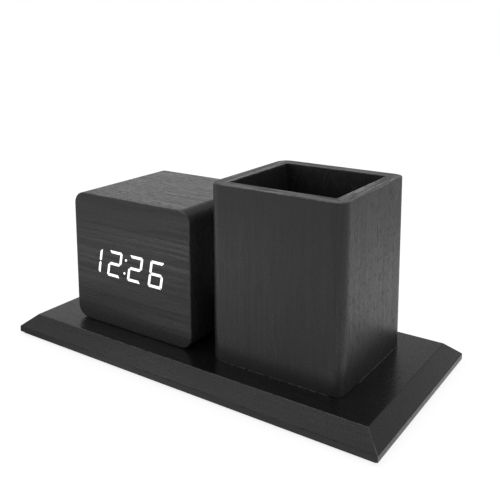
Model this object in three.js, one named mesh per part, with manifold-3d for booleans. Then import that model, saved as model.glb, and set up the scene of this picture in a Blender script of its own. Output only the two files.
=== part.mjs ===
// A desk organiser: a digital clock in a block-shaped case and an open square cup on a bevelled base board.
// Millimetres, +Z up. The origin is the middle of the footprint, at the underside of the foot pads.
import * as THREE from "three";
import { mergeVertices } from "three/addons/utils/BufferGeometryUtils.js";
import Module from "manifold-3d";

const wasm = await Module();
wasm.setup();

// Base board
const baseLength = 230;
const baseDepth = 111.4;
const baseThickness = 10;
const baseEdgeHeight = 3.3;
const baseBevelAtEnds = 8.1;
const baseBevelAtSides = 7.5;
const padRadius = 6;
const padThickness = 1.2;
const padInset = 14;

// Where the clock and the cup stand
const frontSetback = 20.3;
const endSetback = 29.3;
const clockToCupGap = 12.6;
const bodyDepth = 71.6;

// Fits
const seam = 0.02;
const slipGap = 0.2;
const runningGap = 0.3;
const cutOverrun = 1;

// Cup
const cupWidth = 75.6;
const cupHeight = 93;
const cupCornerRadius = 6.4;
const cupWall = 7.7;
const cupFloorThickness = 6;

// Clock case
const clockWidth = 84.8;
const clockHeight = 75.7;
const clockEdgeRadius = 7.2;
const caseWall = 5;
const filmThickness = 0.4;
const frontBoardThickness = 4;
const cornerBlockSide = 8;

// Screws from below
const baseScrewRadius = 2;
const baseScrewHeadRadius = 3.8;
const baseScrewHeadHeight = 2.4;
const baseScrewHoleGap = 0.15;
const baseScrewBite = 3.8;
const baseScrewTipGap = 0.4;
const counterboreGap = 0.4;
const counterboreDepth = 4;
const clockScrewSpacing = 44;
const cupScrewSpacing = 34;
const driveSlotLength = 3.8;
const driveSlotWidth = 0.8;
const driveSlotDepth = 1.2;

// Display
const digitWidth = 10;
const digitHeight = 15.4;
const digitPitch = 15.4;
const firstDigitInset = 10.2;
const digitDrop = 0.5;
const strokeWidth = 1.56;
const segmentGap = 0.2;
const cornerCut = 0.9;
const tipCut = 0.4;
const windowGap = 0.05;
const slantShare = 0.19;
const colonDotRadius = 0.74;
const colonDotRise = 3.9;
const colonShift = 0.3;
const webThickness = 1;
const webMargin = 0.7;
const colonWebWidth = 2.6;
const ledHeight = 0.8;
const ledLength = 2;
const ledWidth = 1.2;
const boardThickness = 1.6;
const displayBoardMargin = 4;

// Back cover
const backRecess = 2;
const backPlateThickness = 2.5;
const backScrewRadius = 1.25;
const backScrewHeadRadius = 2.5;
const backScrewHeadHeight = 1.5;
const backScrewLength = 9;
const backScrewHoleGap = 0.15;
const backSlotLength = 2.8;
const backSlotWidth = 0.6;
const backSlotDepth = 0.7;

// Battery bay: three AAA cells lie one above another
const cellRadius = 5.25;
const cellLength = 44.5;
const cellNubRadius = 1.9;
const cellNubLength = 0.8;
const cellCount = 3;
const cellPitch = 11.4;
const cellMargin = 0.45;
const bayDepth = 10.9;
const bayWall = 1.5;
const cellSeatGap = 0.15;
const contactThickness = 0.4;
const contactWidth = 9;
const springLength = 4;
const springWireRadius = 0.25;
const springRadius = 3;
const springTipRadius = 2;
const springCurls = 3;

// Battery door, hinged on two pins along its lower edge
const doorThickness = 1.8;
const doorLedge = 1.3;
const doorBackGap = 0.2;
const hingeHeight = 8.4;
const hingePinRadius = 0.8;
const hingePinLength = 1.2;
const tongueWidth = 10;
const tongueHeight = 2.5;
const tongueThickness = 1;
const gripRibCount = 5;
const gripRibPitch = 1.6;
const gripRibWidth = 0.7;
const gripRibLength = 14;
const gripRibHeight = 0.4;
const gripRibDrop = 4;

// Buttons and the switches behind them
const buttonNames = ["set", "up", "down"];
const buttonRadius = 3;
const buttonPitch = 11;
const firstButtonX = -14;
const buttonRise = 10;
const buttonProud = 1;
const buttonEdgeRound = 0.5;
const buttonFlangeRadius = 4;
const buttonFlangeThickness = 1.2;
const buttonStemRadius = 1.6;
const buttonStemReach = 3.1;
const switchSide = 6;
const switchHeight = 3.5;
const switchWellDepth = 1.8;

// Main circuit board and what stands on it
const mainBoardLength = 56;
const mainBoardHeight = 13.4;
const mainBoardBayGap = 3.6;
const boardStandoff = 7;
const bossRadius = 2.4;
const bossInset = 2.8;
const bossPinRadius = 1;
const bossPinProud = 0.6;
const switchToSocketGap = 3;
const powerSocketWidth = 8;
const powerSocketHeight = 3.4;
const powerSocketWall = 0.5;
const powerSocketDepth = 5.5;
const powerSocketSetback = 0.5;
const powerTongueWidth = 4;
const powerTongueThickness = 0.6;
const coinCellRadius = 6.25;
const coinCellThickness = 2;
const buzzerRadius = 6;
const buzzerHeight = 5.5;
const buzzerHoleRadius = 1;
const buzzerHoleDepth = 1.5;
const bossToPartGap = 0.8;
const soundHoleRadius = 0.6;
const soundHoleCircleRadius = 2.2;
const soundHoleCount = 6;
const soundHoleRise = 3.5;

// Wiring
const ribbonWidth = 9;
const ribbonThickness = 0.8;
const ribbonBend = 18;
const headerDepth = 3;
const headerHeight = 4;
const leadRadius = 0.6;
const leadBend = 2.4;
const leadLandingRise = 7.5;

// Facets
const arcSteps = 4;
const roundSides = 24;
const smallSides = 12;
const curlSteps = 8;
const wireSides = 5;
const ribbonSteps = 10;
const bendSteps = 3;
const weldDistance = 1e-4;

// Places worked out from the sizes
const baseTop = padThickness + baseThickness;
const clockX = -baseLength / 2 + endSetback + clockWidth / 2;
const cupX = clockX + clockWidth / 2 + clockToCupGap + cupWidth / 2;
const bodyY = -baseDepth / 2 + frontSetback + bodyDepth / 2;
const frontY = -bodyDepth / 2;
const backY = bodyDepth / 2;
const caseFrontY = frontY + filmThickness + seam;
const frontBoardBackY = caseFrontY + frontBoardThickness;
const webBackY = frontBoardBackY + seam + webThickness;
const displayBoardFrontY = webBackY + seam + ledHeight;
const displayBoardBackY = displayBoardFrontY + boardThickness;
const plateOuterY = backY - backRecess;
const plateInnerY = plateOuterY - backPlateThickness;
const mainBoardBackY = plateInnerY - boardStandoff;
const mainBoardFrontY = mainBoardBackY - boardThickness;
const bayHeight = (cellCount - 1) * cellPitch + 2 * (cellRadius + cellMargin);
const bayLength = cellLength + springLength + 2 * contactThickness + 2 * seam;
const bayBottom = hingeHeight + doorLedge;
const bayTop = bayBottom + bayHeight;
const bayFloorY = plateOuterY - doorThickness - doorBackGap - bayDepth;
const cellY = bayFloorY + cellSeatGap + cellRadius;
const hingeY = plateOuterY - doorThickness / 2;
const doorHalfLength = bayLength / 2 + doorLedge;
const doorTop = bayTop + doorLedge;
const displayBottom = (clockHeight - digitHeight) / 2 - digitDrop;
const mainBoardBottom = bayTop + bayWall + mainBoardBayGap;
const mainBoardMiddle = mainBoardBottom + mainBoardHeight / 2;
const bossX = mainBoardLength / 2 - bossInset;
const partLimitX = bossX - bossRadius - bossToPartGap;
const coinCellX = coinCellRadius - partLimitX;
const buzzerX = partLimitX - buzzerRadius;
const ribbonX = (coinCellX + coinCellRadius + buzzerX - buzzerRadius) / 2;
const soundHoleX = buzzerX;
const soundHoleHeight = mainBoardBottom + soundHoleRise;
const buttonHeight = mainBoardBottom + buttonRise;
const lastButtonX = firstButtonX + (buttonNames.length - 1) * buttonPitch;
const powerSocketX = lastButtonX + switchSide / 2 + switchToSocketGap + powerSocketWidth / 2;

const finishes = {
  woodFilm: finish(0x2b2b2b, 0.55, 0),
  faceFilm: finish(0x343434, 0.5, 0),
  rawBoard: finish(0x5a4634, 0.8, 0),
  litPlastic: finish(0xf5f7fa, 0.3, 0),
  blackPlastic: finish(0x151515, 0.5, 0),
  circuitBoard: finish(0x14512c, 0.5, 0),
  steel: finish(0xb8b8b8, 0.3, 1),
  cellWrap: finish(0x3a5068, 0.4, 0),
  rubber: finish(0x101010, 0.9, 0),
  ribbon: finish(0xb9bcc0, 0.6, 0),
  redWire: finish(0x9c1f1a, 0.5, 0),
  blackWire: finish(0x161616, 0.5, 0),
};

function finish(color, roughness, metalness) {
  return new THREE.MeshStandardMaterial({ color, roughness, metalness });
}

function solidOf(geometry) {
  const bare = geometry.clone();
  bare.deleteAttribute("normal");
  bare.deleteAttribute("uv");
  const welded = mergeVertices(bare, weldDistance);
  return new wasm.Manifold(
    new wasm.Mesh({
      numProp: 3,
      vertProperties: welded.attributes.position.array,
      triVerts: new Uint32Array(welded.index.array),
    }),
  );
}

function geometryOf(solid) {
  const mesh = solid.getMesh();
  const geometry = new THREE.BufferGeometry();
  geometry.setAttribute("position", new THREE.BufferAttribute(mesh.vertProperties, 3));
  geometry.setIndex(new THREE.BufferAttribute(mesh.triVerts, 1));
  geometry.computeVertexNormals();
  return geometry;
}

// Joins the first list of geometries and takes the second list away from them.
function carve(kept, cuts) {
  const joined = kept.map(solidOf).reduce((all, piece) => all.add(piece));
  return geometryOf(cuts.map(solidOf).reduce((left, cut) => left.subtract(cut), joined));
}

function place(parent, name, geometry, material) {
  const mesh = new THREE.Mesh(geometry, material);
  mesh.name = name;
  parent.add(mesh);
}

function boxBetween(low, high) {
  const size = high.map((value, axis) => value - low[axis]);
  const middle = high.map((value, axis) => (value + low[axis]) / 2);
  return new THREE.BoxGeometry(...size).translate(...middle);
}

// An outline drawn in X and Z, extruded along Y.
function alongY(outline, y0, y1, steps = arcSteps) {
  const turn = new THREE.Matrix4().makeBasis(
    new THREE.Vector3(1, 0, 0),
    new THREE.Vector3(0, 0, 1),
    new THREE.Vector3(0, -1, 0),
  );
  return extrude(outline, y1 - y0, steps).applyMatrix4(turn).translate(0, y1, 0);
}

// An outline drawn in Y and Z, extruded along X.
function alongX(outline, x0, x1, steps = arcSteps) {
  const turn = new THREE.Matrix4().makeBasis(
    new THREE.Vector3(0, 1, 0),
    new THREE.Vector3(0, 0, 1),
    new THREE.Vector3(1, 0, 0),
  );
  return extrude(outline, x1 - x0, steps).applyMatrix4(turn).translate(x0, 0, 0);
}

// An outline drawn in X and Y, extruded along Z.
function alongZ(outline, z0, z1, steps = arcSteps) {
  return extrude(outline, z1 - z0, steps).translate(0, 0, z0);
}

function extrude(outline, depth, curveSegments) {
  return new THREE.ExtrudeGeometry(outline, { depth, bevelEnabled: false, curveSegments });
}

function cylinderY(radius, x, y0, y1, z, sides = roundSides) {
  return new THREE.CylinderGeometry(radius, radius, y1 - y0, sides).translate(x, (y0 + y1) / 2, z);
}

function cylinderX(radius, x0, x1, y, z, sides = roundSides) {
  return new THREE.CylinderGeometry(radius, radius, x1 - x0, sides)
    .rotateZ(Math.PI / 2)
    .translate((x0 + x1) / 2, y, z);
}

function cylinderZ(radius, x, y, z0, z1, sides = roundSides) {
  return new THREE.CylinderGeometry(radius, radius, z1 - z0, sides)
    .rotateX(Math.PI / 2)
    .translate(x, y, (z0 + z1) / 2);
}

// One board of a mitred frame: its outer face is at +reach, and its ends are cut along the diagonals.
function mitredBoard(halfRun, reach, wall, radius) {
  const centreRun = halfRun - radius;
  const centreReach = reach - radius;
  const start = Math.PI / 4 + seam / radius;
  const outline = new THREE.Shape();
  outline.moveTo(-(halfRun - wall - seam), reach - wall);
  outline.lineTo(halfRun - wall - seam, reach - wall);
  outline.absarc(centreRun, centreReach, radius, start, Math.PI / 2, false);
  outline.absarc(-centreRun, centreReach, radius, Math.PI / 2, Math.PI - start, false);
  outline.closePath();
  return outline;
}

function roundedRectangle(halfWidth, halfHeight, radius, middleY) {
  const outline = new THREE.Shape();
  const corners = [
    [1, 1, 0],
    [-1, 1, 1],
    [-1, -1, 2],
    [1, -1, 3],
  ];
  for (const [sideX, sideY, quarter] of corners) {
    outline.absarc(
      sideX * (halfWidth - radius),
      middleY + sideY * (halfHeight - radius),
      radius,
      (quarter * Math.PI) / 2,
      ((quarter + 1) * Math.PI) / 2,
      false,
    );
  }
  outline.closePath();
  return outline;
}

// A pan-head screw that points up, with a crossed slot in the underside of its head.
function screwUp(x, y, seatZ, tipZ) {
  const headZ = seatZ - baseScrewHeadHeight;
  const slotTop = headZ + driveSlotDepth;
  const slot = (halfX, halfY) =>
    boxBetween([x - halfX, y - halfY, headZ - cutOverrun], [x + halfX, y + halfY, slotTop]);
  return carve(
    [
      cylinderZ(baseScrewHeadRadius, x, y, headZ, seatZ),
      cylinderZ(baseScrewRadius, x, y, seatZ - driveSlotDepth, tipZ, smallSides),
    ],
    [slot(driveSlotLength / 2, driveSlotWidth / 2), slot(driveSlotWidth / 2, driveSlotLength / 2)],
  );
}

const screwSeatZ = padThickness + counterboreDepth;
const screwTipZ = baseTop + seam + baseScrewBite;

function screwPlaces(centreX, spacing) {
  return [-1, 1].map((side) => centreX + (side * spacing) / 2);
}

function baseBoard() {
  const board = new THREE.BoxGeometry(baseLength, baseDepth, baseThickness, 1, 1, 2);
  const places = board.attributes.position;
  for (let i = 0; i < places.count; i++) {
    const level = Math.sign(places.getZ(i));
    const inward = level > 0 ? 1 : 0;
    const x = places.getX(i) - Math.sign(places.getX(i)) * inward * baseBevelAtEnds;
    const y = places.getY(i) - Math.sign(places.getY(i)) * inward * baseBevelAtSides;
    const height = [0, baseEdgeHeight, baseThickness][level + 1];
    places.setXYZ(i, x, y, padThickness + height);
  }
  const cuts = [...screwPlaces(clockX, clockScrewSpacing), ...screwPlaces(cupX, cupScrewSpacing)];
  return carve(
    [board],
    cuts.flatMap((x) => [
      cylinderZ(baseScrewRadius + baseScrewHoleGap, x, bodyY, 0, baseTop + cutOverrun, smallSides),
      cylinderZ(baseScrewHeadRadius + counterboreGap, x, bodyY, 0, screwSeatZ),
    ]),
  );
}

function addBase(root) {
  place(root, "base_board", baseBoard(), finishes.woodFilm);
  let count = 0;
  for (const sideY of [-1, 1]) {
    for (const sideX of [-1, 1]) {
      count += 1;
      const x = sideX * (baseLength / 2 - padInset);
      const y = sideY * (baseDepth / 2 - padInset);
      const pad = cylinderZ(padRadius, x, y, 0, padThickness - seam);
      place(root, `foot_pad_${count}`, pad, finishes.rubber);
    }
  }
  screwPlaces(clockX, clockScrewSpacing).forEach((x, i) => {
    const screw = screwUp(x, bodyY, screwSeatZ - seam, screwTipZ);
    place(root, `clock_screw_${i + 1}`, screw, finishes.steel);
  });
  screwPlaces(cupX, cupScrewSpacing).forEach((x, i) => {
    const screw = screwUp(x, bodyY, screwSeatZ - seam, screwTipZ);
    place(root, `cup_screw_${i + 1}`, screw, finishes.steel);
  });
}

// Blind holes for the screws from below, in a board whose underside is at height 0 of its group.
function pilotHoles(spacing) {
  return screwPlaces(0, spacing).map((x) =>
    cylinderZ(
      baseScrewRadius + baseScrewHoleGap,
      x,
      0,
      -cutOverrun,
      baseScrewBite + baseScrewTipGap,
      smallSides,
    ),
  );
}

function addCup(root) {
  const cup = new THREE.Group();
  cup.position.set(cupX, bodyY, baseTop + seam);
  root.add(cup);
  const across = mitredBoard(cupWidth / 2, bodyDepth / 2, cupWall, cupCornerRadius);
  const along = mitredBoard(bodyDepth / 2, cupWidth / 2, cupWall, cupCornerRadius);
  const walls = [
    ["cup_wall_back", across, 0],
    ["cup_wall_left", along, Math.PI / 2],
    ["cup_wall_front", across, Math.PI],
    ["cup_wall_right", along, -Math.PI / 2],
  ];
  for (const [name, outline, turn] of walls) {
    place(cup, name, alongZ(outline, 0, cupHeight).rotateZ(turn), finishes.woodFilm);
  }
  const halfX = cupWidth / 2 - cupWall - slipGap;
  const halfY = bodyDepth / 2 - cupWall - slipGap;
  const floor = boxBetween([-halfX, -halfY, 0], [halfX, halfY, cupFloorThickness]);
  place(cup, "cup_floor", carve([floor], pilotHoles(cupScrewSpacing)), finishes.woodFilm);
}

function addCase(clock) {
  const middle = clockHeight / 2;
  const across = mitredBoard(clockWidth / 2, middle, caseWall, clockEdgeRadius);
  const upright = mitredBoard(middle, clockWidth / 2, caseWall, clockEdgeRadius);
  const board = (outline, turn) =>
    alongY(outline, caseFrontY, backY).rotateY(turn).translate(0, 0, middle);
  place(clock, "case_top", board(across, 0), finishes.woodFilm);
  place(clock, "case_right", board(upright, Math.PI / 2), finishes.woodFilm);
  place(
    clock,
    "case_bottom",
    carve([board(across, Math.PI)], pilotHoles(clockScrewSpacing)),
    finishes.woodFilm,
  );
  place(clock, "case_left", board(upright, -Math.PI / 2), finishes.woodFilm);
  addCornerBlocks(clock);
}

function backScrewPlaces() {
  const x = clockWidth / 2 - caseWall - cornerBlockSide / 2;
  const low = caseWall + cornerBlockSide / 2;
  return [
    [-x, low],
    [x, low],
    [-x, clockHeight - low],
    [x, clockHeight - low],
  ];
}

function addCornerBlocks(clock) {
  const half = cornerBlockSide / 2 - seam;
  const rearY = plateInnerY - seam;
  backScrewPlaces().forEach(([x, z], i) => {
    const block = boxBetween(
      [x - half, frontBoardBackY + seam, z - half],
      [x + half, rearY, z + half],
    );
    const holeRadius = backScrewRadius + backScrewHoleGap;
    const holeEnd = plateOuterY - backScrewLength - baseScrewTipGap;
    const hole = cylinderY(holeRadius, x, holeEnd, rearY + cutOverrun, z, smallSides);
    place(clock, `corner_block_${i + 1}`, carve([block], [hole]), finishes.rawBoard);
  });
}

// The seven segments of a digit, upright, in a cell from 0 to digitWidth and 0 to digitHeight.
function segmentOutlines() {
  const w = digitWidth;
  const h = digitHeight;
  const s = strokeWidth;
  const g = segmentGap;
  const m = h / 2;
  const halfTurn = (points) => points.map(([u, v]) => [w - u, h - v]);
  const top = [
    [g * 2, h],
    [s + g, h - s],
    [w - s - g, h - s],
    [w - cornerCut / 2 - g, h - cornerCut / 2],
    [w - cornerCut, h],
  ];
  const upperRight = [
    [w - cornerCut / 2, h - cornerCut / 2 - g],
    [w - s, h - s - g],
    [w - s, m + s / 2 + g],
    [w - s / 2, m + g],
    [w, m + s / 2 + g],
    [w, h - cornerCut],
  ];
  const upperLeft = [
    [0, h - tipCut - g * 2],
    [0, m + s / 2 + g],
    [s / 2, m + g],
    [s, m + s / 2 + g],
    [s, h - s - g],
    [tipCut / 2, h - tipCut / 2 - g * 2],
  ];
  const middle = [
    [s / 2 + g, m],
    [s + g, m - s / 2],
    [w - s - g, m - s / 2],
    [w - s / 2 - g, m],
    [w - s - g, m + s / 2],
    [s + g, m + s / 2],
  ];
  return {
    a: top,
    b: upperRight,
    c: halfTurn(upperLeft),
    d: halfTurn(top),
    e: halfTurn(upperRight),
    f: upperLeft,
    g: middle,
  };
}

// Moves each side of a convex outline, listed anticlockwise, outwards by one distance.
function grow(points, distance) {
  const sides = points.map((p, i) => {
    const q = points[(i + 1) % points.length];
    const run = new THREE.Vector2(q[0] - p[0], q[1] - p[1]).normalize();
    return { run, x: p[0] + run.y * distance, y: p[1] - run.x * distance };
  });
  return sides.map((side, i) => {
    const before = sides[(i + sides.length - 1) % sides.length];
    const cross = before.run.cross(side.run);
    const along = ((side.x - before.x) * side.run.y - (side.y - before.y) * side.run.x) / cross;
    return [before.x + before.run.x * along, before.y + before.run.y * along];
  });
}

// Leans an upright outline over and puts it on the clock's face.
function onFace(points, cellLeft) {
  return points.map(
    ([u, v]) =>
      new THREE.Vector2(
        -clockWidth / 2 + cellLeft + u + (v - digitHeight / 2) * slantShare,
        displayBottom + v,
      ),
  );
}

function circlePoints(radius, u, v) {
  return Array.from({ length: smallSides }, (_, i) => {
    const angle = (i / smallSides) * 2 * Math.PI;
    return [u + radius * Math.cos(angle), v + radius * Math.sin(angle)];
  });
}

const colonLeft = firstDigitInset + digitPitch + (digitPitch + digitWidth) / 2 + colonShift;

// The digits from left to right, with the segments that are lit.
const digits = [
  ["hour_tens", "bc"],
  ["hour_units", "abged"],
  ["minute_tens", "abged"],
  ["minute_units", "afgedc"],
];

// Each display group: its node name, its cell's left edge and its segments' outlines, lit or not.
function displayGroups() {
  const shapes = segmentOutlines();
  const groups = digits.map(([name, lit], column) => ({
    name,
    left: firstDigitInset + column * digitPitch,
    webWidth: digitWidth,
    margin: webMargin,
    segments: Object.entries(shapes).map(([key, points]) => ({ points, lit: lit.includes(key) })),
  }));
  groups.push({
    name: "colon",
    left: colonLeft,
    webWidth: 0,
    margin: colonWebWidth / 2,
    segments: [-1, 1].map((side) => ({
      points: circlePoints(colonDotRadius, 0, digitHeight / 2 + side * colonDotRise),
      lit: true,
    })),
  });
  return groups;
}

function windows(litOnly, y0, y1) {
  const cuts = [];
  for (const group of displayGroups()) {
    for (const segment of group.segments) {
      if (litOnly && !segment.lit) continue;
      const outline = new THREE.Shape(onFace(grow(segment.points, windowGap), group.left));
      cuts.push(alongY(outline, y0 - cutOverrun, y1 + cutOverrun));
    }
  }
  return cuts;
}

function addFront(clock) {
  const middle = clockHeight / 2;
  const face = roundedRectangle(clockWidth / 2, middle, clockEdgeRadius, middle);
  const filmBackY = frontY + filmThickness;
  const film = alongY(face, frontY, filmBackY, 2 * arcSteps);
  const litWindows = windows(true, frontY, filmBackY);
  place(clock, "front_film", carve([film], litWindows), finishes.faceFilm);
  const halfWidth = clockWidth / 2 - caseWall - slipGap;
  const halfHeight = middle - caseWall - slipGap;
  const board = boxBetween(
    [-halfWidth, caseFrontY, middle - halfHeight],
    [halfWidth, frontBoardBackY, middle + halfHeight],
  );
  const allWindows = windows(false, caseFrontY, frontBoardBackY);
  place(clock, "front_board", carve([board], allWindows), finishes.rawBoard);
}

// A web behind the front board with one finger for each segment. A lit finger comes flush with the face.
function addLightGuides(clock) {
  for (const group of displayGroups()) {
    const low = -webMargin;
    const high = digitHeight + webMargin;
    const web = [
      [-group.margin, low],
      [group.webWidth + group.margin, low],
      [group.webWidth + group.margin, high],
      [-group.margin, high],
    ];
    const shapeOf = (points) => new THREE.Shape(onFace(points, group.left));
    const pieces = [alongY(shapeOf(web), frontBoardBackY + seam, webBackY)];
    for (const segment of group.segments) {
      const tipY = segment.lit ? frontY : caseFrontY;
      pieces.push(alongY(shapeOf(segment.points), tipY, webBackY));
    }
    place(clock, `light_guide_${group.name}`, carve(pieces, []), finishes.litPlastic);
  }
}

function addDisplayBoard(clock) {
  const groups = displayGroups();
  const left = -clockWidth / 2 + firstDigitInset - displayBoardMargin;
  const right = left + (digits.length - 1) * digitPitch + digitWidth + 2 * displayBoardMargin;
  const pieces = [
    boxBetween(
      [left, displayBoardFrontY, displayBottom - displayBoardMargin],
      [right, displayBoardBackY, displayBottom + digitHeight + displayBoardMargin],
    ),
    header(displayBoardBackY, displayBoardBackY + headerDepth, clockHeight / 2),
  ];
  for (const group of groups) {
    for (const segment of group.segments) {
      const corners = onFace(segment.points, group.left);
      const x = corners.reduce((sum, p) => sum + p.x, 0) / corners.length;
      const z = corners.reduce((sum, p) => sum + p.y, 0) / corners.length;
      pieces.push(
        boxBetween(
          [x - ledLength / 2, webBackY + seam, z - ledWidth / 2],
          [x + ledLength / 2, displayBoardFrontY + boardThickness / 2, z + ledWidth / 2],
        ),
      );
    }
  }
  place(clock, "display_board", carve(pieces, []), finishes.circuitBoard);
}

function header(y0, y1, z) {
  return boxBetween(
    [ribbonX - ribbonWidth / 2, y0, z - headerHeight / 2],
    [ribbonX + ribbonWidth / 2, y1, z + headerHeight / 2],
  );
}

function bossPlaces() {
  return [-1, 1].map((side) => [side * bossX, mainBoardBottom + bossInset]);
}

function addMainBoard(clock) {
  const half = mainBoardLength / 2;
  const holes = bossPlaces().map(([x, z]) =>
    cylinderY(
      bossPinRadius + slipGap,
      x,
      mainBoardFrontY - cutOverrun,
      mainBoardBackY + cutOverrun,
      z,
      smallSides,
    ),
  );
  const board = boxBetween(
    [-half, mainBoardFrontY, mainBoardBottom],
    [half, mainBoardBackY, mainBoardBottom + mainBoardHeight],
  );
  const plug = header(mainBoardFrontY - headerDepth, mainBoardFrontY, mainBoardMiddle);
  place(clock, "main_board", carve([board, plug], holes), finishes.circuitBoard);

  const faceY = mainBoardFrontY - seam;
  place(
    clock,
    "coin_cell",
    cylinderY(coinCellRadius, coinCellX, faceY - coinCellThickness, faceY, mainBoardMiddle),
    finishes.steel,
  );
  const buzzerTop = faceY - buzzerHeight;
  place(
    clock,
    "buzzer",
    carve(
      [cylinderY(buzzerRadius, buzzerX, buzzerTop, faceY, mainBoardMiddle)],
      [
        cylinderY(
          buzzerHoleRadius,
          buzzerX,
          buzzerTop - cutOverrun,
          buzzerTop + buzzerHoleDepth,
          mainBoardMiddle,
          smallSides,
        ),
      ],
    ),
    finishes.blackPlastic,
  );
}

// The flat cable from the display board to the main board, in one long S.
function addRibbon(clock) {
  const startY = displayBoardBackY + headerDepth + seam;
  const endY = mainBoardFrontY - headerDepth - seam;
  const startZ = clockHeight / 2;
  const endZ = mainBoardMiddle;
  const route = new THREE.CubicBezierCurve(
    new THREE.Vector2(startY, startZ),
    new THREE.Vector2(startY + ribbonBend, startZ),
    new THREE.Vector2(endY - ribbonBend, endZ),
    new THREE.Vector2(endY, endZ),
  );
  const side = (sign) =>
    Array.from({ length: ribbonSteps + 1 }, (_, i) => {
      const at = route.getPoint(i / ribbonSteps);
      const run = route.getTangent(i / ribbonSteps);
      const out = (sign * ribbonThickness) / 2;
      return new THREE.Vector2(at.x - run.y * out, at.y + run.x * out);
    });
  const outline = new THREE.Shape([...side(-1), ...side(1).reverse()]);
  const x0 = ribbonX - ribbonWidth / 2;
  place(clock, "ribbon_cable", alongX(outline, x0, x0 + ribbonWidth), finishes.ribbon);
}

function buttonPlaces() {
  return buttonNames.map((name, i) => ({ name, x: firstButtonX + i * buttonPitch }));
}

function addButtons(clock) {
  const flangeTop = plateInnerY - seam;
  const flangeBottom = flangeTop - buttonFlangeThickness;
  const capTop = plateOuterY + buttonProud;
  const stemTip = flangeBottom - buttonStemReach;
  const switchTop = mainBoardBackY + seam + switchHeight;
  const profile = [
    [0, stemTip],
    [buttonStemRadius, stemTip],
    [buttonStemRadius, flangeBottom],
    [buttonFlangeRadius, flangeBottom],
    [buttonFlangeRadius, flangeTop],
    [buttonRadius, flangeTop],
    [buttonRadius, capTop - buttonEdgeRound],
    [buttonRadius - buttonEdgeRound, capTop],
    [0, capTop],
  ].map(([radius, y]) => new THREE.Vector2(radius, y));
  for (const { name, x } of buttonPlaces()) {
    const button = new THREE.LatheGeometry(profile, roundSides).translate(x, 0, buttonHeight);
    place(clock, `button_${name}`, carve([button], []), finishes.blackPlastic);
    const half = switchSide / 2;
    const body = boxBetween(
      [x - half, mainBoardBackY + seam, buttonHeight - half],
      [x + half, switchTop, buttonHeight + half],
    );
    const well = cylinderY(
      buttonStemRadius + runningGap,
      x,
      switchTop - switchWellDepth,
      switchTop + cutOverrun,
      buttonHeight,
      smallSides,
    );
    place(clock, `switch_${name}`, carve([body], [well]), finishes.blackPlastic);
  }
}

function addPowerSocket(clock) {
  const mouthY = plateOuterY - powerSocketSetback;
  const halfWidth = powerSocketWidth / 2;
  const halfHeight = powerSocketHeight / 2;
  const shell = boxBetween(
    [powerSocketX - halfWidth, mainBoardBackY + seam, buttonHeight - halfHeight],
    [powerSocketX + halfWidth, mouthY, buttonHeight + halfHeight],
  );
  const inner = boxBetween(
    [
      powerSocketX - halfWidth + powerSocketWall,
      mouthY - powerSocketDepth,
      buttonHeight - halfHeight + powerSocketWall,
    ],
    [
      powerSocketX + halfWidth - powerSocketWall,
      mouthY + cutOverrun,
      buttonHeight + halfHeight - powerSocketWall,
    ],
  );
  const tongue = boxBetween(
    [
      powerSocketX - powerTongueWidth / 2,
      mouthY - powerSocketDepth - powerSocketWall,
      buttonHeight - powerTongueThickness / 2,
    ],
    [
      powerSocketX + powerTongueWidth / 2,
      mouthY - powerSocketWall,
      buttonHeight + powerTongueThickness / 2,
    ],
  );
  const hollow = carve([shell], [inner]);
  place(clock, "power_socket", carve([hollow, tongue], []), finishes.steel);
}

function backCover() {
  const edge = caseWall + slipGap;
  const halfBay = bayLength / 2;
  const plate = boxBetween(
    [-clockWidth / 2 + edge, plateInnerY, edge],
    [clockWidth / 2 - edge, plateOuterY, clockHeight - edge],
  );
  const bay = boxBetween(
    [-halfBay - bayWall, bayFloorY - bayWall, bayBottom - bayWall],
    [halfBay + bayWall, plateInnerY + seam, bayTop + bayWall],
  );
  const bosses = bossPlaces().flatMap(([x, z]) => [
    cylinderY(bossRadius, x, mainBoardBackY + seam, plateInnerY + seam, z),
    cylinderY(bossPinRadius, x, mainBoardFrontY - bossPinProud, plateInnerY, z, smallSides),
  ]);
  return carve([plate, bay, ...bosses], coverCuts());
}

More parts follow.
